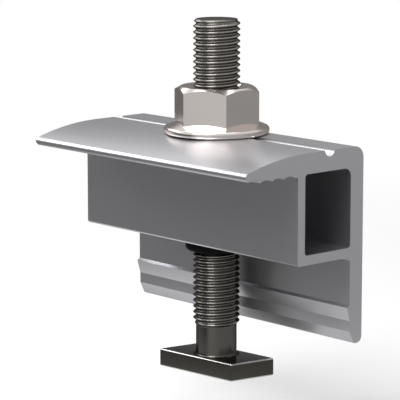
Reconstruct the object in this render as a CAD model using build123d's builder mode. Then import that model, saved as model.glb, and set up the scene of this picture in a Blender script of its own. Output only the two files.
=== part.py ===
from build123d import *
import math
import os

# Solar end clamp for a 30 mm module frame, in millimetres.
# X runs along the extrusion, the lip reaches towards -Y and the back plate stands on +Y.
# The origin is on the bolt axis, level with the top of the rail that the foot stands on.

# Extrusion, overall
clamp_length = 53.0
grip_height = 29.2
lip_thickness = 3.7
lip_reach = 18.05

# Extrusion, box around the bolt
front_wall_reach = 6.6
front_wall_thickness = 1.6
top_wall_thickness = 3.4
floor_height = 14.65
floor_thickness = 1.6
cavity_corner_radius = 0.6
cavity_back_radius = 1.4
front_edge_bevel = 0.3

# Extrusion, back plate and foot
plate_reach = 5.4
plate_thickness = 2.9
back_top_radius = 2.0
back_bottom_radius = 1.1
floor_fillet_radius = 0.6
ledge_step = 0.6
ledge_height = 6.25
ledge_top_rise = 0.35
foot_face_recess = 0.1
foot_face_top = 3.9
foot_face_bottom = 2.1
foot_chamfer_width = 1.0
foot_chamfer_radius = 0.4

# Extrusion, lip with its crown, nose, serrations and drill guide
crown_radius = 45.0
crown_start = 4.45
nose_radius = 0.6
nose_corner_rise = 0.4
serration_count = 4
serration_pitch = 2.57
serration_depth = 0.38
guide_groove_radius = 1.05
guide_groove_offset = 0.5

# Bolt, M8 with a hammer head; its thread is drawn as one ring for each pitch
bolt_diameter = 8.0
shank_diameter = 7.0
thread_pitch = 1.0
thread_flank_height = 0.29
thread_crest_height = 0.12
bolt_end_above_nut = 11.3
thread_end_height = 0.1
bolt_tip_chamfer = 0.5
shank_foot_radius = 0.5
head_top_depth = 5.4
head_thickness = 3.1
head_length = 16.9
head_width = 8.5
head_skew_angle = 75.0
head_turn_angle = 4.9
head_edge_radius = 0.2
head_corner_radius = 0.25

# Flange nut, M8, 13 mm across the flats
nut_side_count = 6
nut_across_flats = 13.0
nut_height = 8.0
nut_turn_angle = 30.0
nut_chamfer_angle = 30.0
nut_top_diameter = 12.2
nut_countersink = 0.45
flange_diameter = 17.9
flange_rim_height = 1.1
flange_rim_radius = 0.5
flange_cone_angle = 22.0

# Retaining collar under the box floor
collar_plate_gap = 0.1
collar_rim_height = 1.6
collar_top_radius = 0.8
collar_rim_radius = 0.7
collar_height = 1.95
collar_mouth_wall = 0.15

# Fits
bolt_hole_clearance = 0.5
thread_clearance = 0.05
collar_bore_clearance = 0.05

# Sizes that follow from the ones above
top_height = grip_height + lip_thickness
nut_top = top_height + nut_height
bolt_top = nut_top + bolt_end_above_nut
plate_back = plate_reach + plate_thickness
ceiling_height = top_height - top_wall_thickness
cavity_floor_height = floor_height + floor_thickness
cavity_front = front_wall_reach - front_wall_thickness
bolt_radius = bolt_diameter / 2
shank_radius = shank_diameter / 2
thread_top = bolt_top - bolt_tip_chamfer
thread_turns = int((thread_top - thread_end_height) / thread_pitch)
hole_radius = bolt_radius + bolt_hole_clearance
bolt_bottom = -(head_top_depth + head_thickness)

# The crown of the top face is an arc that leaves the flat part tangentially.
crown_centre = (-crown_start, top_height - crown_radius)
nose_centre_y = nose_radius - lip_reach
nose_drop = math.sqrt(
    (crown_radius - nose_radius) ** 2 - (nose_centre_y - crown_centre[0]) ** 2
)
nose_centre = (nose_centre_y, crown_centre[1] + nose_drop)


def on_circle(centre, radius, angle):
    """Point of a circle at an angle in radians from the horizontal."""
    return (centre[0] + radius * math.cos(angle), centre[1] + radius * math.sin(angle))


# The nose is an arc between the crown and the facet that falls to the first serration.
nose_start_angle = math.atan2(
    nose_centre[1] - crown_centre[1], nose_centre[0] - crown_centre[0]
)
nose_corner = (-(lip_reach - nose_radius), grip_height + nose_corner_rise)
corner_gap = (nose_corner[0] - nose_centre[0], nose_corner[1] - nose_centre[1])
corner_distance = math.hypot(*corner_gap)
nose_end_angle = (
    math.atan2(corner_gap[1], corner_gap[0]) % (2 * math.pi)
    - math.acos(nose_radius / corner_distance)
)
crown_mid_angle = (math.pi / 2 + nose_start_angle) / 2
nose_mid_angle = (nose_start_angle + nose_end_angle) / 2
crown_end = on_circle(nose_centre, nose_radius, nose_start_angle)
facet_top = on_circle(nose_centre, nose_radius, nose_end_angle)

# Clamp extrusion: one aluminium profile with a drilled bolt hole.
with BuildPart() as clamp_extrusion:
    with BuildSketch(Plane.YZ) as profile:
        with BuildLine():
            ThreePointArc(
                (-crown_start, top_height),
                on_circle(crown_centre, crown_radius, crown_mid_angle),
                crown_end,
            )
            ThreePointArc(
                crown_end,
                on_circle(nose_centre, nose_radius, nose_mid_angle),
                facet_top,
            )
            Line(facet_top, nose_corner)
            cusp = nose_corner
            for tooth in range(serration_count):
                next_cusp = (cusp[0] + serration_pitch, grip_height)
                SagittaArc(cusp, next_cusp, serration_depth)
                cusp = next_cusp
            foot_face = plate_reach + foot_face_recess
            FilletPolyline(
                cusp,
                (-front_wall_reach, grip_height),
                (-front_wall_reach, floor_height + front_edge_bevel),
                (front_edge_bevel - front_wall_reach, floor_height),
                (plate_reach, floor_height),
                (plate_reach, ledge_height + ledge_top_rise),
                (plate_reach - ledge_step, ledge_height),
                (foot_face, foot_face_top),
                (foot_face, foot_face_bottom),
                (foot_face + foot_chamfer_width, 0),
                (plate_back, 0),
                (plate_back, top_height),
                (-crown_start, top_height),
                radius=[
                    0,
                    0,
                    0,
                    floor_fillet_radius,
                    0,
                    0,
                    0,
                    0,
                    foot_chamfer_radius,
                    back_bottom_radius,
                    back_top_radius,
                ],
            )
        make_face()
        with Locations((guide_groove_offset, top_height)):
            Circle(guide_groove_radius, mode=Mode.SUBTRACT)
    extrude(amount=clamp_length / 2, both=True)

    with BuildSketch(Plane.YZ) as cavity:
        with BuildLine():
            FilletPolyline(
                (-cavity_front, cavity_floor_height),
                (plate_reach, cavity_floor_height),
                (plate_reach, ceiling_height),
                (-cavity_front, ceiling_height),
                close=True,
                radius=[
                    cavity_corner_radius,
                    cavity_corner_radius,
                    cavity_back_radius,
                    cavity_corner_radius,
                ],
            )
        make_face()
    extrude(amount=clamp_length / 2, both=True, mode=Mode.SUBTRACT)

    with BuildSketch(Plane.XY.offset(top_height)):
        Circle(hole_radius)
    extrude(amount=floor_height - top_height, mode=Mode.SUBTRACT)

# Hammer-head bolt: a skewed head on a shank, threaded above it.
with BuildPart() as hammer_head_bolt:
    skew_shift = head_width / math.tan(math.radians(head_skew_angle))
    head_flat_reach = head_width / 2 - head_edge_radius
    with BuildSketch(Plane.XY.offset(bolt_bottom).rotated((0, 0, head_turn_angle))):
        with BuildLine():
            Polyline(
                (-(head_length + skew_shift) / 2, -head_width / 2),
                ((head_length - skew_shift) / 2, -head_width / 2),
                ((head_length + skew_shift) / 2, head_width / 2),
                ((skew_shift - head_length) / 2, head_width / 2),
                close=True,
            )
        make_face()
    extrude(amount=head_thickness)
    fillet(hammer_head_bolt.edges().filter_by(Axis.Z), head_corner_radius)
    fillet(hammer_head_bolt.faces().filter_by(Axis.Z).edges(), head_edge_radius)

    with BuildSketch(Plane.XZ):
        with BuildLine():
            FilletPolyline(
                (0, -head_top_depth - head_edge_radius),
                (head_flat_reach, -head_top_depth - head_edge_radius),
                (head_flat_reach, -head_top_depth),
                (shank_radius, -head_top_depth),
                (shank_radius, thread_end_height),
                radius=[0, 0, shank_foot_radius],
            )
            root = (shank_radius, thread_end_height)
            for turn in range(thread_turns):
                crest_bottom = root[1] + thread_flank_height
                crest_top = crest_bottom + thread_crest_height
                next_root = (shank_radius, root[1] + thread_pitch)
                Polyline(
                    root,
                    (bolt_radius, crest_bottom),
                    (bolt_radius, crest_top),
                    (shank_radius, crest_top + thread_flank_height),
                    next_root,
                )
                root = next_root
            Polyline(
                root,
                (bolt_radius, root[1] + thread_flank_height),
                (bolt_radius, thread_top),
                (bolt_radius - bolt_tip_chamfer, bolt_top),
                (0, bolt_top),
                (0, -head_top_depth - head_edge_radius),
            )
        make_face()
    revolve(axis=Axis.Z)

# Flange nut: a hexagon chamfered at its top, on a conical flange with a rounded rim.
hex_corner_radius = nut_across_flats / 2 / math.cos(math.pi / nut_side_count)
nut_bore_radius = bolt_radius + thread_clearance
hex_chamfer_drop = (hex_corner_radius - nut_top_diameter / 2) * math.tan(
    math.radians(nut_chamfer_angle)
)
cone_rise = flange_diameter / 2 * math.tan(math.radians(flange_cone_angle))
with BuildPart() as flange_nut:
    with BuildSketch(Plane.XY.offset(top_height)):
        RegularPolygon(hex_corner_radius, side_count=nut_side_count, rotation=nut_turn_angle)
    extrude(amount=nut_height)
    with BuildSketch(Plane.XZ) as hex_envelope:
        with BuildLine():
            Polyline(
                (0, top_height),
                (hex_corner_radius, top_height),
                (hex_corner_radius, nut_top - hex_chamfer_drop),
                (nut_top_diameter / 2, nut_top),
                (0, nut_top),
                close=True,
            )
        make_face()
    revolve(axis=Axis.Z, mode=Mode.INTERSECT)
    with BuildSketch(Plane.XZ):
        with BuildLine():
            FilletPolyline(
                (0, top_height),
                (flange_diameter / 2, top_height),
                (flange_diameter / 2, top_height + flange_rim_height),
                (0, top_height + flange_rim_height + cone_rise),
                close=True,
                radius=[0, flange_rim_radius, flange_rim_radius, 0],
            )
        make_face()
    revolve(axis=Axis.Z)
    with BuildSketch(Plane.XZ):
        with BuildLine():
            Polyline(
                (0, top_height),
                (nut_bore_radius, top_height),
                (nut_bore_radius, nut_top - nut_countersink),
                (nut_bore_radius + nut_countersink, nut_top),
                (0, nut_top),
                close=True,
            )
        make_face()
    revolve(axis=Axis.Z, mode=Mode.SUBTRACT)

# Retaining collar: a plastic ring with a rounded rim and a conical underside.
collar_bore_radius = bolt_radius + collar_bore_clearance
collar_rim_bottom = floor_height - collar_rim_height
collar_radius = plate_reach - collar_plate_gap
with BuildPart() as retaining_collar:
    with BuildSketch(Plane.XZ):
        with BuildLine():
            FilletPolyline(
                (collar_bore_radius, floor_height),
                (collar_radius, floor_height),
                (collar_radius, collar_rim_bottom),
                (collar_bore_radius + collar_mouth_wall, floor_height - collar_height),
                (collar_bore_radius, floor_height - collar_height),
                close=True,
                radius=[0, collar_top_radius, collar_rim_radius, 0, 0],
            )
        make_face()
    revolve(axis=Axis.Z)

os.makedirs("parts", exist_ok=True)

clamp_extrusion.part.label = "clamp_extrusion"
export_step(clamp_extrusion.part, "parts/clamp_extrusion.step")

hammer_head_bolt.part.label = "hammer_head_bolt"
export_step(hammer_head_bolt.part, "parts/hammer_head_bolt.step")

flange_nut.part.label = "flange_nut"
export_step(flange_nut.part, "parts/flange_nut.step")

retaining_collar.part.label = "retaining_collar"
export_step(retaining_collar.part, "parts/retaining_collar.step")
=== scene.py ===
# %% [markdown]
# # Solar end clamp
# An end clamp holds the edge of a solar module down on its rail: an extruded aluminium
# body with a toothed lip, a bolt whose skewed head sits in the rail's slot, a flange nut
# that is driven down on the body, and a plastic collar that keeps the parts together.
# The solids come packed from the CAD part, where the fine thread is only a row of rings.
# This script gives the bolt its real thread and rounded head, gives each piece its
# finish, and sets up camera and light. Lengths are in metres.

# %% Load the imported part
import math

import bmesh
import bpy
import numpy as np
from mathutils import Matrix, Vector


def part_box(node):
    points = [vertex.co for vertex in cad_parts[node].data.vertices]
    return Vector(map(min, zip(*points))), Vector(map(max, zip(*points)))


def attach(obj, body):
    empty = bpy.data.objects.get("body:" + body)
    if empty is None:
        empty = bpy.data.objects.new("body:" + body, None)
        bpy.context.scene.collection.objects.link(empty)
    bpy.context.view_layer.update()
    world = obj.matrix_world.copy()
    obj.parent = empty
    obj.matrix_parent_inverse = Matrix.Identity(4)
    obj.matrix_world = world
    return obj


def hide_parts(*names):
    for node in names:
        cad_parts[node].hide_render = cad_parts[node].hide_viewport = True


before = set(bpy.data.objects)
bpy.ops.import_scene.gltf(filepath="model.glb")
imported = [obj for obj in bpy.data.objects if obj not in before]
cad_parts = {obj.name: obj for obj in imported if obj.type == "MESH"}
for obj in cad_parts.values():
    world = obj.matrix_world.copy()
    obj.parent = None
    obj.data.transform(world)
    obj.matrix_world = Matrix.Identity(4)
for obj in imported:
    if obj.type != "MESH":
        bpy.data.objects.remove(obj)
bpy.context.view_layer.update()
MM = 0.001
print("CAD nodes:", sorted(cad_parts))

# %% [markdown]
# ## Where the bolt ends
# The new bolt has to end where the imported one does. Its heights could be typed in again,
# but they would be wrong as soon as the CAD part changes, so they are read from the box
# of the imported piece. The floor is placed from them too. The bolt sinks by 11.25 mm when
# its nut is undone to the end of the thread, and the floor lies where the head is then,
# so that the head never goes below it.

# %% Read the bolt's box
BOLT_TRAVEL = 11.25 * MM

bolt_low, bolt_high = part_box("hammer_head_bolt")
floor_z = bolt_low.z - BOLT_TRAVEL
print("bolt from", round(bolt_low.z / MM, 2), "to", round(bolt_high.z / MM, 2), "mm")

# %% [markdown]
# ## The camera
# The part is seen from its front right, 48 degrees round and 10 degrees down. A wide
# lens close by would show the same faces, but their edges would converge strongly. A
# long lens from 0.4 m keeps them nearly parallel, as in a product view. A camera that
# looks along -Z is tilted up about X until it dips 10 degrees, and then turned about Z.

# %% Camera
VIEW_AZIMUTH = math.radians(48.03)
VIEW_DIP = math.radians(10.02)
LENS_MM = 205.9
SENSOR_MM = 36.0
CAMERA_PLACE = (0.28286, -0.25819, 0.08899)
NEAREST_SEEN = 0.01

camera_data = bpy.data.cameras.new("product_camera")
camera_data.sensor_width = SENSOR_MM
camera_data.lens = LENS_MM
camera_data.clip_start = NEAREST_SEEN
camera = bpy.data.objects.new("product_camera", camera_data)
camera.location = CAMERA_PLACE
camera.rotation_euler = (math.pi / 2 - VIEW_DIP, 0.0, VIEW_AZIMUTH)
bpy.context.scene.collection.objects.link(camera)
bpy.context.scene.camera = camera
print("camera is", round(camera.location.length, 3), "m from the bolt axis")

# %% [markdown]
# ## Skins made from grids
# Blender's Screw modifier can wind a thread, but only one that is the same from end to
# end. This one fades out into the shank and is cut by a chamfer. So each new piece is a
# skin, worked out as grids of points. Neighbours on a grid are joined by quads, and a
# fan of triangles to one point closes an end. Grids that meet have points in the same
# places, and welding those makes one closed skin without a seam.

# %% Quads of a grid
def grid_quads(rows, columns, first, closed):
    """Quads between neighbours of a grid, whose points are stored row by row from index
    first. Seen from outside, rows go up and columns to the right. A closed grid joins
    its last column to its first."""
    i, j = np.meshgrid(
        np.arange(rows - 1), np.arange(columns if closed else columns - 1), indexing="ij"
    )
    k = (j + 1) % columns
    quads = np.stack([
        i * columns + j, i * columns + k, (i + 1) * columns + k, (i + 1) * columns + j
    ], axis=-1)
    return (quads.reshape(-1, 4) + first).tolist()


print("3 rows of 4 points have", len(grid_quads(3, 4, 0, closed=False)), "quads")

# %% Fan that closes an end
def fan(columns, first, pole, upwards):
    """Triangles from a ring of points, stored from index first, to the point pole. They
    face up, or else down."""
    here = first + np.arange(columns)
    beside = first + (np.arange(columns) + 1) % columns
    ring = [here, beside] if upwards else [beside, here]
    return np.stack([*ring, np.full(columns, pole)], axis=-1).tolist()


print("a ring of 8 points takes", len(fan(8, 0, 8, upwards=True)), "triangles")

# %% Weld a skin
WELD = 1e-6


def skin(name, points, faces):
    """A smooth piece from points and faces, with points nearer than WELD made one."""
    mesh = bpy.data.meshes.new(name)
    mesh.from_pydata(points.tolist(), [], faces)
    work = bmesh.new()
    work.from_mesh(mesh)
    bmesh.ops.remove_doubles(work, verts=work.verts, dist=WELD)
    work.to_mesh(mesh)
    work.free()
    mesh.polygons.foreach_set("use_smooth", np.ones(len(mesh.polygons), bool))
    piece = bpy.data.objects.new(name, mesh)
    bpy.context.scene.collection.objects.link(piece)
    print(name, "has", len(mesh.polygons), "faces")
    return piece


# %% [markdown]
# ## Values kept on a piece
# Some finishes differ from place to place on one piece, such as a thread whose crests
# are rubbed. An image could be wrapped round the piece for that, but a number on each
# point needs no image and moves with the piece. The material reads it by its name.

# %% Read places, store values
def places(piece):
    """The x, y and z of all points of a piece, as three arrays."""
    flat = np.empty(3 * len(piece.data.vertices))
    piece.data.vertices.foreach_get("co", flat)
    return flat.reshape(-1, 3).T


def store(piece, name, values):
    """Keep one value for each point of the piece under this name."""
    layer = piece.data.attributes.new(name, "FLOAT", "POINT")
    layer.data.foreach_set("value", values.ravel().astype(np.float32))
    print(piece.name, name, round(values.min(), 2), "to", round(values.max(), 2))


# %% [markdown]
# ## The rolled thread
# The bolt is M8 with a fine pitch of 1 mm. Its thread is rolled: dies press the roots in
# and push the crests up, so both are a little round. Across one pitch the ridge is a
# straight flank up and another one down. Drawn straight, its edges would be sharp, so it
# is blended with an eased flank, which levels out at the root and the crest.

# %% Ridge over one pitch
PITCH = 1.0 * MM
CREST_RADIUS = 4.0 * MM
ROOT_RADIUS = 3.5 * MM
ROOT_FLAT = 0.10
STRAIGHT_SHARE = 0.35


def smooth(x):
    """Ease from 0 to 1: three times x squared less two times x cubed, held at the ends."""
    x = np.clip(x, 0.0, 1.0)
    return x * x * (3.0 - 2.0 * x)


def thread_ridge(phase):
    """Height of the ridge, from 0 at the root to 1 at the crest. phase runs from 0 to 1
    over one pitch, with the crest at 0.5. The flank falls in a straight line from the
    crest to a flat root, and is blended with the same flank eased."""
    away = np.abs(phase - 0.5)
    flank = (0.5 - ROOT_FLAT / 2 - away) / (0.5 - ROOT_FLAT / 2)
    straight = np.clip(flank, 0.0, 1.0)
    return STRAIGHT_SHARE * straight + (1.0 - STRAIGHT_SHARE) * smooth(flank)


print("ridge a quarter of a pitch from the crest:", round(thread_ridge(0.25), 2))

# %% [markdown]
# ## The radius of the whole bolt
# Thread, shank and fillet could be three pieces. Here one function gives the radius at
# any angle and height, so they run into each other as on the real bolt: the thread fades
# out over its run-out, the tip is chamfered, and the shank flares where it meets the
# head. A full turn moves the crest up by one pitch, which makes the thread right-handed.

# %% Radius at an angle and a height
THREAD_END = 0.1 * MM
RUN_OUT = 0.9 * MM
TIP_CHAMFER = 0.5 * MM
CREST_TURN = 0.26
SHANK_FOOT = -5.4 * MM
FOOT_RADIUS = 0.5 * MM


def bolt_radius(angle, z):
    """Radius of the bolt: the root plus the ridge, whose crest climbs one pitch in a
    turn and which fades over the run-out; no more than the cone of the tip's chamfer
    allows; plus a quarter circle of FOOT_RADIUS at the shank's foot."""
    phase = ((z - THREAD_END) / PITCH - angle / (2 * math.pi) + CREST_TURN) % 1.0
    fade = smooth((z - THREAD_END + RUN_OUT / 2) / RUN_OUT)
    radius = ROOT_RADIUS + (CREST_RADIUS - ROOT_RADIUS) * thread_ridge(phase) * fade
    chamfer = CREST_RADIUS - TIP_CHAMFER - (z - bolt_high.z)
    foot = np.clip(1.0 - (z - SHANK_FOOT) / FOOT_RADIUS, 0.0, 1.0)
    fillet = FOOT_RADIUS * (1.0 - np.sqrt(1.0 - foot**2))
    return np.minimum(radius, chamfer) + fillet


def on_bolt(angle, z):
    """Points of the bolt's skin: the radius times cosine and sine of the angle, and z."""
    angle, z = np.broadcast_arrays(angle, z)
    radius = bolt_radius(angle, z)
    return np.stack([radius * np.cos(angle), radius * np.sin(angle), z], axis=-1)


print("radius at the tip:", round(bolt_radius(0.0, bolt_high.z) / MM, 2), "mm")

# %% [markdown]
# ## A strip wound round the bolt
# On a grid with level rows, each row would cut across the ridge and leave small steps on
# it. So the grid is a strip one pitch wide that climbs with the ridge, its long edges on
# the crest, and each turn is welded to the next. Where the strip starts below the thread
# or goes on above the tip, its heights are held there, so both ends come out level.

# %% Wind the strip
STEPS_PER_PITCH = 14
COLUMNS = 120

thread_low = THREAD_END - RUN_OUT / 2
turns = math.ceil((bolt_high.z - thread_low) / PITCH) + 1
crest_height = (0.5 - CREST_TURN) * PITCH + THREAD_END
strip_start = thread_low - PITCH - (thread_low - crest_height) % PITCH
along = np.arange(turns * COLUMNS + 1)
across = np.arange(STEPS_PER_PITCH + 1)
strip_z = strip_start + PITCH * (
    along[None, :] / COLUMNS + across[:, None] / STEPS_PER_PITCH
)
strip = on_bolt(
    2 * math.pi * along[None, :] / COLUMNS, np.clip(strip_z, thread_low, bolt_high.z)
)
print("the strip has", turns, "turns of", COLUMNS, "columns")

# %% [markdown]
# ## The shank below the thread
# Below the thread the bolt is plain, so level rings are enough. They are close together
# only in the fillet at the foot, where the skin curves: their heights follow a quarter
# circle. The last ring lies a little inside the head, so that no gap shows between them.

# %% Rings of the shank
FILLET_RINGS = 9
PLAIN_RINGS = 8
SUNK = 0.2 * MM

around = 2 * math.pi * np.arange(COLUMNS) / COLUMNS
fillet_share = 1.0 - np.cos(np.linspace(0.0, math.pi / 2, FILLET_RINGS))
shank_z = np.concatenate([
    [SHANK_FOOT - SUNK],
    SHANK_FOOT + FOOT_RADIUS * fillet_share,
    np.linspace(SHANK_FOOT + FOOT_RADIUS, thread_low, PLAIN_RINGS)[1:],
])
plain = on_bolt(around[None, :], shank_z[:, None])
print("the shank has", len(shank_z), "rings")

# %% Weld strip, shank and ends to one skin
tip = on_bolt(around, bolt_high.z)
poles = np.array([[0.0, 0.0, shank_z[0]], [0.0, 0.0, bolt_high.z]])
after_plain = strip[..., 0].size
after_tip = after_plain + plain[..., 0].size
pole_index = after_tip + COLUMNS
bolt_shank = skin(
    "bolt_shank",
    np.concatenate([strip.reshape(-1, 3), plain.reshape(-1, 3), tip, poles]),
    grid_quads(len(across), len(along), 0, closed=False)
    + grid_quads(len(shank_z), COLUMNS, after_plain, closed=True)
    + fan(COLUMNS, after_plain, pole_index, upwards=False)
    + fan(COLUMNS, after_tip, pole_index + 1, upwards=True),
)

# %% [markdown]
# ## Painted highlight on the thread's crests
# Nuts and hands rub the dark skin off a thread, most of all on its crests, and here the
# crests are also painted lighter as a highlight, so their light is partly wear and partly
# painted highlight. How far up the ridge a point lies is known from its distance to the
# axis, and that share is kept on the point. The plain shank stays dark.

# %% Share of painted highlight on the thread
ROOT_SHARE = 0.35


def crest_highlight_share(x, y, z):
    """How far up the ridge a point lies, from ROOT_SHARE at the root to 1 at the crest,
    eased in from 0 over the run-out: the share of painted highlight, partly wear."""
    up = (np.hypot(x, y) - ROOT_RADIUS) / (CREST_RADIUS - ROOT_RADIUS)
    share = ROOT_SHARE + (1.0 - ROOT_SHARE) * np.clip(up, 0.0, 1.0)
    return share * smooth((z - thread_low) / RUN_OUT)


# The thread's crests are painted lighter from this share: painted highlight, partly wear.
store(bolt_shank, "highlight_and_wear", crest_highlight_share(*places(bolt_shank)))

# %% [markdown]
# ## The hammer head
# The head is a flat parallelogram, so that it drops into the rail's slot along its length
# and locks when it is turned a quarter turn clockwise. It is forged, so all its edges are
# a little round. A Bevel modifier could round a block, but then nothing would say which
# points lie on the rounding. Here the outline is a ring of points on four corner arcs,
# and each ring of the skin is that outline drawn in as the rounded edge asks.

# %% Corners of the head
HEAD_LENGTH = 16.9 * MM
HEAD_WIDTH = 8.5 * MM
HEAD_SKEW = math.radians(75.0)

skew_shift = HEAD_WIDTH / math.tan(HEAD_SKEW)
half_long = (HEAD_LENGTH + skew_shift) / 2
half_short = (HEAD_LENGTH - skew_shift) / 2
half_width = HEAD_WIDTH / 2
head_corners = np.array([
    [-half_long, -half_width],
    [half_short, -half_width],
    [half_long, half_width],
    [-half_short, half_width],
])
print("head over its corners:", round(2 * half_long / MM, 2), "mm")

# %% Outline of the head
HEAD_TURN = math.radians(4.9)
HEAD_CORNER = 0.3 * MM
CORNER_STEPS = 9


def head_outline(inset):
    """Ring of the head's outline, drawn in by inset and turned by HEAD_TURN. Each corner
    is an arc from one side's outward direction to the next one's, about a centre that
    keeps its place."""
    before = head_corners - np.roll(head_corners, 1, axis=0)
    after = np.roll(head_corners, -1, axis=0) - head_corners
    start = np.arctan2(before[:, 1], before[:, 0]) - math.pi / 2
    turn = (np.arctan2(after[:, 1], after[:, 0]) - math.pi / 2 - start) % (2 * math.pi)
    middle = start + turn / 2
    to_centre = HEAD_CORNER / np.cos(turn / 2)
    centres = head_corners - to_centre[:, None] * np.stack(
        [np.cos(middle), np.sin(middle)], axis=-1
    )
    arc = start[:, None] + turn[:, None] * np.linspace(0.0, 1.0, CORNER_STEPS)
    reach = HEAD_CORNER - inset
    ring = centres[:, None, :] + reach * np.stack([np.cos(arc), np.sin(arc)], axis=-1)
    c, s = math.cos(HEAD_TURN), math.sin(HEAD_TURN)
    return ring.reshape(-1, 2) @ np.array([[c, s], [-s, c]])


print("the outline has", len(head_outline(0.0)), "points")

# %% Rings of the head
HEAD_THICKNESS = 3.1 * MM
HEAD_EDGE = 0.3 * MM
EDGE_STEPS = 6

head_top = SHANK_FOOT
head_bottom = head_top - HEAD_THICKNESS
quarter = np.linspace(0.0, math.pi / 2, EDGE_STEPS)
insets = np.concatenate([
    HEAD_EDGE * (1.0 - np.sin(quarter)), HEAD_EDGE * (1.0 - np.cos(quarter))
])
levels = np.concatenate([
    head_bottom + HEAD_EDGE * (1.0 - np.cos(quarter)),
    head_top - HEAD_EDGE * (1.0 - np.sin(quarter)),
])
ring_size = 4 * CORNER_STEPS
head_rings = np.stack([
    np.column_stack([head_outline(inset), np.full(ring_size, level)])
    for inset, level in zip(insets, levels)
])
print("the head has", len(levels), "rings of", ring_size, "points")

# %% Close the head
last_ring = (len(levels) - 1) * ring_size
head_pole = len(levels) * ring_size
head_poles = np.array([[0.0, 0.0, head_bottom], [0.0, 0.0, head_top]])
bolt_head = skin(
    "bolt_head",
    np.concatenate([head_rings.reshape(-1, 3), head_poles]),
    grid_quads(len(levels), ring_size, 0, closed=True)
    + fan(ring_size, 0, head_pole, upwards=False)
    + fan(ring_size, last_ring, head_pole + 1, upwards=True),
)

# %% [markdown]
# ## Painted highlight on the head's edges
# The head slides in the rail's slot and its edges lose some dark skin there, but the bright
# line along its rounded edges is mostly a painted highlight. The share
# is 0 on the flat faces and 1 in the middle of the rounded edge.

# %% Share of painted highlight on the head
def edge_highlight_share(x, y, z):
    """How near a point lies to the middle of the rounded edge: the sine of twice its
    angle along the edge, where one less its depth over HEAD_EDGE is that angle's sine."""
    depth = np.minimum(head_top - z, z - head_bottom)
    sine = np.clip(1.0 - depth / HEAD_EDGE, 0.0, 1.0)
    return 2.0 * sine * np.sqrt(1.0 - sine**2)


# The head's rounded edges are painted bright from this share: mostly painted highlight.
store(bolt_head, "highlight_and_wear", edge_highlight_share(*places(bolt_head)))

# %% [markdown]
# ## Which body each new piece rides on
# The real bolt is one piece. Shank and head are two skins here, as their surfaces are
# worked out in different ways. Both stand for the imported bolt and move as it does, when
# it turns in the clamp or is drawn up by the nut.

# %% Ride and replace
for piece in (bolt_shank, bolt_head):
    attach(piece, "bolt")
    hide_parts("hammer_head_bolt")
print("the bolt's new pieces ride on body bolt")

# %% [markdown]
# ## A helper for the finishes
# The finishes are the same kind of surface: one colour on the shader's own socket, a
# fine grain that varies the roughness, and a very faint relief. Each could have its own
# nodes, but what differs is only numbers and how the grain is stretched along X, Y and
# Z, so one helper makes them all.

# %% Finish helper
GRAIN_DETAIL = 2.0


def finish(name, colour, metallic, roughness, spread, grain_scale, relief):
    """A material whose roughness is the middle value plus or minus spread, following a
    noise stretched by grain_scale, and whose relief in metres follows the same noise."""
    material = bpy.data.materials.new(name)
    material.use_nodes = True
    nodes, links = material.node_tree.nodes, material.node_tree.links
    shader = nodes["Principled BSDF"]
    shader.inputs["Base Color"].default_value = (*colour, 1.0)
    shader.inputs["Metallic"].default_value = metallic
    place = nodes.new("ShaderNodeTexCoord")
    stretch = nodes.new("ShaderNodeMapping")
    stretch.inputs["Scale"].default_value = grain_scale
    grain = nodes.new("ShaderNodeTexNoise")
    grain.inputs["Scale"].default_value = 1.0
    grain.inputs["Detail"].default_value = GRAIN_DETAIL
    polish = nodes.new("ShaderNodeMapRange")
    polish.inputs["To Min"].default_value = roughness - spread
    polish.inputs["To Max"].default_value = roughness + spread
    bump = nodes.new("ShaderNodeBump")
    bump.inputs["Strength"].default_value = 1.0
    bump.inputs["Distance"].default_value = relief
    links.new(place.outputs["Object"], stretch.inputs["Vector"])
    links.new(stretch.outputs["Vector"], grain.inputs["Vector"])
    links.new(grain.outputs["Fac"], polish.inputs["Value"])
    links.new(polish.outputs["Result"], shader.inputs["Roughness"])
    links.new(grain.outputs["Fac"], bump.inputs["Height"])
    links.new(bump.outputs["Normal"], shader.inputs["Normal"])
    smoothest, roughest = round(roughness - spread, 3), round(roughness + spread, 3)
    print(name, "roughness", smoothest, "to", roughest)
    return material


def hang(piece, material):
    """Give the piece this one material."""
    piece.data.materials.clear()
    piece.data.materials.append(material)


# %% [markdown]
# ## Aluminium and plastic
# The extrusion is bare aluminium as it leaves the press, satin, with faint die lines
# along its length. A picture of such lines would be stretched on the curved lip; here
# the noise is stretched along X, so the lines follow the profile wherever it goes. The
# collar is black moulded plastic, nearly without shine.

# %% Aluminium and plastic
PLASTIC_SHINE = 0.06

aluminium = finish(
    "aluminium", (0.595, 0.592, 0.618), metallic=0.92, roughness=0.30, spread=0.015,
    grain_scale=(3.0, 1500.0, 1500.0), relief=0.04e-6,
)
black_plastic = finish(
    "black_plastic", (0.004, 0.004, 0.004), metallic=0.0, roughness=0.55, spread=0.05,
    grain_scale=(1200.0, 1200.0, 1200.0), relief=1.0e-6,
)
plastic_shader = black_plastic.node_tree.nodes["Principled BSDF"]
plastic_shader.inputs["Specular IOR Level"].default_value = PLASTIC_SHINE
hang(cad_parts["clamp_extrusion"], aluminium)
hang(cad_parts["retaining_collar"], black_plastic)

# %% [markdown]
# ## The dark steel, its shaded copy, and the bright one
# The bolt is dark, lightly oiled steel. The head has a copy of it painted darker than the
# thread, as painted shade, and both are painted lighter where the stored share says so, as
# highlight with some wear. A metal grows brighter at a glancing angle,
# up to white, but the bolt's skin of oxide keeps that low, and on the nut's stainless
# steel it stays warm. Specular Tint says how much of that brightness is left.

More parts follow.
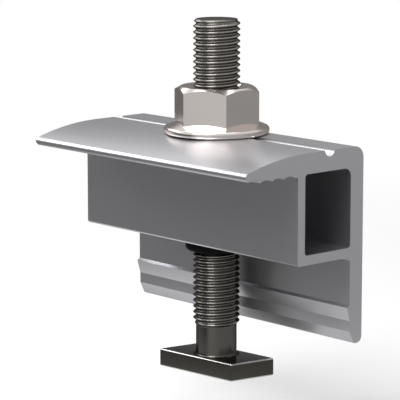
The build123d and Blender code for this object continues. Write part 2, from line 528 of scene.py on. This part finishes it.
# %% Painted highlight with wear, and glancing tint
def paint_highlight_and_wear(material, highlight_colour):
    """Blend the base colour to highlight_colour by the share stored on the piece: a painted
    highlight that is partly wear.
    """
    nodes, links = material.node_tree.nodes, material.node_tree.links
    base = nodes["Principled BSDF"].inputs["Base Color"]
    share = nodes.new("ShaderNodeAttribute")
    share.attribute_name = "highlight_and_wear"
    tone = nodes.new("ShaderNodeMix")
    tone.data_type = "RGBA"
    tone.inputs["A"].default_value = tuple(base.default_value)
    tone.inputs["B"].default_value = (*highlight_colour, 1.0)
    links.new(share.outputs["Fac"], tone.inputs["Factor"])
    links.new(tone.outputs["Result"], base)
    print(material.name, "is rubbed to", highlight_colour)


def tint_glancing(material, tint):
    """Multiply what the metal reflects at a glancing angle by tint."""
    shader = material.node_tree.nodes["Principled BSDF"]
    shader.inputs["Specular Tint"].default_value = (*tint, 1.0)


# %% Steel finishes
STEEL_GRAIN = (1500.0, 1500.0, 1500.0)
NUT_GRAIN = (900.0, 900.0, 900.0)
STEEL_RELIEF = 0.1e-6

# The head's steel is the thread's steel painted darker, as shade.
shaded_head_steel = finish(
    "shaded_head_steel", (0.064, 0.062, 0.056), metallic=1.0, roughness=0.18, spread=0.02,
    grain_scale=STEEL_GRAIN, relief=STEEL_RELIEF,
)
# The head's edges are painted near white as a highlight line, partly wear.
paint_highlight_and_wear(shaded_head_steel, (0.70, 0.69, 0.66))
tint_glancing(shaded_head_steel, (0.85, 0.85, 0.85))
thread_steel = finish(
    "thread_steel", (0.12, 0.114, 0.106), metallic=1.0, roughness=0.25, spread=0.02,
    grain_scale=STEEL_GRAIN, relief=STEEL_RELIEF,
)
# The thread is painted lighter towards its crests by the stored share, as a painted
# highlight.
paint_highlight_and_wear(thread_steel, (0.29, 0.276, 0.258))
tint_glancing(thread_steel, (0.35, 0.34, 0.33))
bright_steel = finish(
    "bright_steel", (0.60, 0.557, 0.535), metallic=1.0, roughness=0.18, spread=0.02,
    grain_scale=NUT_GRAIN, relief=STEEL_RELIEF,
)
tint_glancing(bright_steel, (1.0, 0.93, 0.90))
hang(bolt_head, shaded_head_steel)
hang(bolt_shank, thread_steel)
hang(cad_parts["flange_nut"], bright_steel)

# %% [markdown]
# ## What counts as seen
# A white background is made by colour, not by more light. Light Path tells whether a ray
# comes from the camera, from a reflection or through glass. Those rays see the white
# table and surroundings at full level, and all others, which carry light to the part,
# get less. Table and surroundings both need this, so a helper makes it once.

# %% Rays that see
def seen_rays(nodes, links):
    """A socket that is 1 for camera, glossy and transmission rays and 0 for others: the
    largest of the three."""
    ray = nodes.new("ShaderNodeLightPath")
    two = nodes.new("ShaderNodeMath")
    two.operation = "MAXIMUM"
    three = nodes.new("ShaderNodeMath")
    three.operation = "MAXIMUM"
    links.new(ray.outputs["Is Camera Ray"], two.inputs[0])
    links.new(ray.outputs["Is Glossy Ray"], two.inputs[1])
    links.new(two.outputs["Value"], three.inputs[0])
    links.new(ray.outputs["Is Transmission Ray"], three.inputs[1])
    return three.outputs["Value"]


print("seen rays: camera, glossy, transmission")

# %% [markdown]
# ## The floor
# The part stands over a white table. Close to it the table is plain matt paint, so it
# takes the part's soft shadow, with a little glow for the rays that see it. Further out
# it turns into the white of the background. A table of one colour would show its far
# edge as a horizon; this one shows none from any side.

# %% Table paint
PAINT_COLOUR = (0.80, 0.80, 0.80, 1.0)
PAINT_GLOW = 0.26
PAINT_REACH = 0.10
BLEND_REACH = 0.30

paint = bpy.data.materials.new("table_paint")
paint.use_nodes = True
nodes, links = paint.node_tree.nodes, paint.node_tree.links
nodes.clear()
matt = nodes.new("ShaderNodeBsdfDiffuse")
matt.inputs["Color"].default_value = PAINT_COLOUR
glow_level = nodes.new("ShaderNodeMapRange")
glow_level.inputs["To Max"].default_value = PAINT_GLOW
glow = nodes.new("ShaderNodeEmission")
painted = nodes.new("ShaderNodeAddShader")
links.new(seen_rays(nodes, links), glow_level.inputs["Value"])
links.new(glow_level.outputs["Result"], glow.inputs["Strength"])
links.new(matt.outputs["BSDF"], painted.inputs[0])
links.new(glow.outputs["Emission"], painted.inputs[1])
print("paint near the part, with a glow of", PAINT_GLOW)

# %% Blend the paint to white
place = nodes.new("ShaderNodeTexCoord")
distance = nodes.new("ShaderNodeVectorMath")
distance.operation = "LENGTH"
blend = nodes.new("ShaderNodeMapRange")
blend.interpolation_type = "SMOOTHSTEP"
blend.inputs["From Min"].default_value = PAINT_REACH
blend.inputs["From Max"].default_value = BLEND_REACH
white = nodes.new("ShaderNodeEmission")
mix = nodes.new("ShaderNodeMixShader")
output = nodes.new("ShaderNodeOutputMaterial")
links.new(place.outputs["Object"], distance.inputs[0])
links.new(distance.outputs["Value"], blend.inputs["Value"])
links.new(blend.outputs["Result"], mix.inputs["Fac"])
links.new(painted.outputs["Shader"], mix.inputs[1])
links.new(white.outputs["Emission"], mix.inputs[2])
links.new(mix.outputs["Shader"], output.inputs["Surface"])
print("paint turns white from", PAINT_REACH, "to", BLEND_REACH, "m")

# %% Table
FLOOR_SIZE = 6.0

bpy.ops.mesh.primitive_plane_add(size=FLOOR_SIZE, location=(0.0, 0.0, floor_z))
table = bpy.context.object
table.name = "table"
hang(table, paint)
print("table at", round(floor_z / MM, 2), "mm")

# %% [markdown]
# ## Grey card round the part
# Metal shows what stands around it. In a white tent every face would be the same white,
# so a photographer stands grey card round the metal. Here a low ring of card stands
# round the part, its sides nearly flat, so that a flat face shows one even grey. It is
# dark at the front left, where the long front wall looks, middle grey on the right,
# where the cut end looks, pale at the front, where the nut looks, and it turns white
# along its top. Only reflections see the card, so it hides nothing and casts no shadow.

# %% Shape of the card ring
RING_HALF_LENGTH = 0.080
RING_HALF_DEPTH = 0.062
RING_SQUARENESS = 5.0
RING_COLUMNS = 180
RING_ROWS = 53
FOLD = 0.3
FOOT_INNER = 0.04
FOOT_LIFT = 0.0003
CARD_AZIMUTHS = [10.0, 75.0, 110.0, 152.0, 195.0, 262.0, 279.0, 300.0, 335.0]
CARD_TOPS = [0.055, 0.070, 0.098, 0.098, 0.044, 0.040, 0.050, 0.050, 0.050]


def by_azimuth(angle, values):
    """Value at an angle in radians, drawn straight from one card azimuth to the next."""
    return np.interp(np.degrees(angle), CARD_AZIMUTHS, values, period=360.0)


ring_azimuth = np.linspace(0.0, 2 * math.pi, RING_COLUMNS, endpoint=False)
share, ring_a = np.meshgrid(np.linspace(-FOLD, 1.0, RING_ROWS), ring_azimuth, indexing="ij")
print("card up to", max(CARD_TOPS), "m high")

# %% [markdown]
# ## Fold the card in at its foot
# The chamfers and the underside look down, so the ring's foot is folded in under the
# part, level with the bottom of the head. A row's share runs from -FOLD at the inner end
# of the foot over 0 at the fold to 1 at the top of the wall. A box would have sharp
# corners, and an ellipse no flat sides, so the outline is in between: its reach is one
# over the fifth root of the fifth power of the cosine over the half length plus that of
# the sine over the half depth.

# %% Points of the card ring
foot_z = bolt_low.z + FOOT_LIFT
ring_z = foot_z + np.maximum(share, 0.0) * (by_azimuth(ring_a, CARD_TOPS) - foot_z)
ring_reach = (
    (np.abs(np.cos(ring_a)) / RING_HALF_LENGTH) ** RING_SQUARENESS
    + (np.abs(np.sin(ring_a)) / RING_HALF_DEPTH) ** RING_SQUARENESS
) ** (-1.0 / RING_SQUARENESS)
ring_reach = ring_reach * (1.0 + (1.0 - FOOT_INNER) * np.minimum(share, 0.0) / FOLD)
ring_x, ring_y = ring_reach * np.cos(ring_a), ring_reach * np.sin(ring_a)
card_ring = skin(
    "card_ring",
    np.stack([ring_x, ring_y, ring_z], axis=-1).reshape(-1, 3),
    grid_quads(RING_ROWS, RING_COLUMNS, 0, closed=True),
)

# %% Tones of the card's wall
PALE_FROM = [0.030, 0.045, 0.064, 0.064, 0.060, 0.060, 0.050, 0.040, 0.030]
PALE_OVER = 0.038
LOW_TONES = [0.40, 0.40, 0.30, 0.18, 0.19, 0.08, 0.80, 0.80, 0.44]
HIGH_TONES = [0.45, 0.40, 0.28, 0.22, 0.20, 0.20, 0.85, 0.85, 0.45]
HIGH_FROM = 0.022
HIGH_OVER = 0.03


def towards(tone, target, part):
    """The tone moved part of the way: the tone plus part times target less tone."""
    return tone + (target - tone) * part


ring_tone = towards(
    by_azimuth(ring_a, LOW_TONES),
    by_azimuth(ring_a, HIGH_TONES),
    smooth((ring_z - HIGH_FROM) / HIGH_OVER),
)
pale_part = smooth((ring_z - by_azimuth(ring_a, PALE_FROM)) / PALE_OVER)
ring_tone = towards(ring_tone, 1.0, pale_part)
print("wall tones from", round(ring_tone.min(), 2), "to", round(ring_tone.max(), 2))

# %% [markdown]
# ## Tones of the folded foot
# One tone for the whole foot would leave the back plate flat. Under the part the foot is
# light, which brightens the plate's sloping edges, and in front it stays dark, which
# darkens the upright band between them. A thin white strip under the box draws the light
# line along the box's lower edge.

# %% Tones of the card's foot
FOOT_TONE = 0.66
FRONT_PART = 0.15
DARK_FRONT_Y = -0.042
LIGHT_FOOT_Y = -0.014
STRIP_Y = -0.0015
STRIP_WIDTH = 0.0030
STRIP_END = 0.016

lit = smooth((ring_y - DARK_FRONT_Y) / (LIGHT_FOOT_Y - DARK_FRONT_Y))
inward = smooth(-share / FOLD) * towards(FRONT_PART, 1.0, lit)
ring_tone = towards(ring_tone, FOOT_TONE, inward)
white_strip = np.exp(-(((ring_y - STRIP_Y) / STRIP_WIDTH) ** 2)) * (share < 0.0)
white_strip = white_strip * smooth((STRIP_END - ring_x) / STRIP_END)
ring_tone = towards(ring_tone, 1.0, white_strip)
store(card_ring, "tone", ring_tone)

# %% Card that only reflections see
card = bpy.data.materials.new("grey_card")
card.use_nodes = True
nodes, links = card.node_tree.nodes, card.node_tree.links
nodes.clear()
tone = nodes.new("ShaderNodeAttribute")
tone.attribute_name = "tone"
even = nodes.new("ShaderNodeEmission")
output = nodes.new("ShaderNodeOutputMaterial")
links.new(tone.outputs["Fac"], even.inputs["Strength"])
links.new(even.outputs["Emission"], output.inputs["Surface"])
hang(card_ring, card)
card_ring.visible_camera = False
card_ring.visible_diffuse = False
card_ring.visible_shadow = False
card_ring.visible_transmission = False
card_ring.visible_volume_scatter = False
print("the card is seen by glossy rays only")

# %% [markdown]
# ## Lamps
# Point lamps would give hard shadows and tiny lights in the metal, so all three are
# softboxes. The key light stands in front, 52 degrees high and left of the camera. The
# nut's front side throws it down on the flange and on a patch of the top, which go
# white. A long box on the left draws the white line along the nose, in the groove and
# on the head's edge. A wide one overhead whitens the nut's chamfers.

# %% Softboxes
def softbox(name, azimuth, elevation, distance, sides, radiance):
    """A rectangular lamp at a direction and a distance from the part, turned to face it.
    Its power is pi times its area times the radiance that it should show."""
    a, e = math.radians(azimuth), math.radians(elevation)
    data = bpy.data.lights.new(name, "AREA")
    data.shape = "RECTANGLE"
    data.size, data.size_y = sides
    data.energy = radiance * math.pi * sides[0] * sides[1]
    lamp = bpy.data.objects.new(name, data)
    away = (math.cos(e) * math.cos(a), math.cos(e) * math.sin(a), math.sin(e))
    lamp.location = [distance * x for x in away]
    lamp.rotation_euler = (math.pi / 2 - e, 0.0, a + math.pi / 2)
    lamp.visible_camera = False
    bpy.context.scene.collection.objects.link(lamp)
    print(name, "at", [round(x, 3) for x in lamp.location], "radiance", radiance)


softbox("key_softbox", 281.0, 52.0, distance=0.45, sides=(0.24, 0.28), radiance=7.5)
softbox("left_strip", 193.0, 34.0, distance=0.45, sides=(0.48, 0.17), radiance=3.0)
softbox("overhead_softbox", 155.0, 75.0, distance=0.50, sides=(0.38, 0.38), radiance=1.7)

# %% [markdown]
# ## Surroundings
# The world is the white background for the rays that see it. For all others it is a dim
# fill, which lifts the shadows a little. Standard shows the colours as they are written.

# %% World
FILL_LEVEL = 0.12

world = bpy.data.worlds.new("white_surroundings")
bpy.context.scene.world = world
world.use_nodes = True
nodes, links = world.node_tree.nodes, world.node_tree.links
nodes.clear()
level = nodes.new("ShaderNodeMapRange")
level.inputs["To Min"].default_value = FILL_LEVEL
level.inputs["To Max"].default_value = 1.0
sky = nodes.new("ShaderNodeBackground")
sky.inputs["Color"].default_value = (1.0, 1.0, 1.0, 1.0)
output = nodes.new("ShaderNodeOutputWorld")
links.new(seen_rays(nodes, links), level.inputs["Value"])
links.new(level.outputs["Result"], sky.inputs["Strength"])
links.new(sky.outputs["Background"], output.inputs["Surface"])
bpy.context.scene.view_settings.view_transform = "Standard"
print("fill level", FILL_LEVEL)
